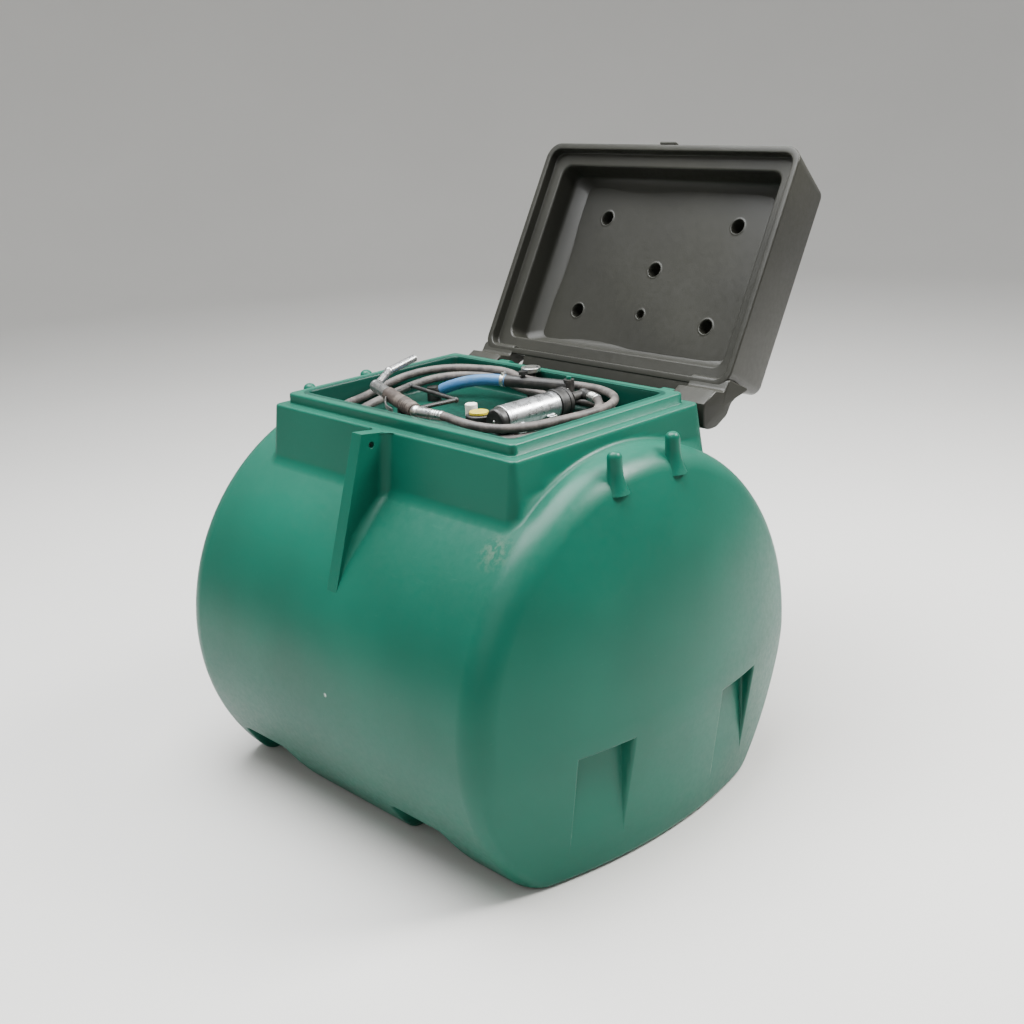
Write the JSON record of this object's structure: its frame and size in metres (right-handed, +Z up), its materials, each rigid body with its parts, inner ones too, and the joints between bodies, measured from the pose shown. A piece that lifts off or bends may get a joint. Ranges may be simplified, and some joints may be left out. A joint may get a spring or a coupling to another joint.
{
  "type": "diesel tank",
  "caption": "Horizontal moulded fuel tank with dished ends, fork pockets in its flat base and a lidded equipment box on top that holds a pump, hose and nozzle.",
  "frame": {"origin": "middle of the barrel on the ground", "axes": "+X along the barrel towards the end nearer the box's deep side, -Y the latch side, +Z up"},
  "size_m": [1.4622, 1.5721, 1.7074],
  "materials": {
    "green_moulding": "satin rotomoulded polyethylene, green",
    "black_moulding": "satin rotomoulded polyethylene, black",
    "plated_steel": "zinc plated",
    "motor_alloy": "satin",
    "black_plastic": "moulded",
    "black_paint": "painted casting",
    "blue_hose": "smooth",
    "grey_hose": "matt",
    "yellow_plastic": "moulded",
    "white_plastic": "moulded",
    "nozzle_cover": "worn"
  },
  "bodies": {
    "tank": {"barrel": "green_moulding", "near_end": "green_moulding", "far_end": "green_moulding", "fork_channels": "green_moulding", "box_walls": "green_moulding", "box_rim": "green_moulding", "box_liner": "green_moulding", "box_floor": "green_moulding", "latch_rib": "green_moulding", "tie_pegs": "green_moulding", "hinge_lugs": "green_moulding", "hinge_pins": "plated_steel", "pump_motor": "motor_alloy", "motor_cap": "black_plastic", "pump_head": "black_paint", "pump_cradle": "plated_steel", "pump_ports": "black_paint", "bleed_screw": "green_moulding", "outlet_port": "black_paint", "valve_knob": "black_plastic", "blue_hose": "blue_hose", "hose_clamps": "plated_steel", "suction_stand": "black_plastic", "riser_pipe": "black_plastic", "riser_cap": "plated_steel", "meter_body": "black_plastic", "meter_cap": "yellow_plastic", "drain_knob": "white_plastic", "delivery_hose": "grey_hose", "nozzle_rest": "black_plastic", "nozzle_swivel": "plated_steel", "nozzle_body": "nozzle_cover", "nozzle_head": "motor_alloy", "nozzle_spout": "motor_alloy", "nozzle_guard": "black_plastic"},
    "lid": {"lid_shell": "black_moulding", "lid_seat": "black_moulding", "lid_tray": "black_moulding", "lid_panel": "black_moulding", "lid_lobes": "black_moulding", "lid_tab": "black_moulding"}
  },
  "joints": [
    {"name": "lid_hinge", "type": "hinge", "parent": "tank", "child": "lid", "pos_m": [0.027, 0.404, 1.056], "axis": [1, 0, 0], "range_deg": [0, 119.4]}
  ]
}
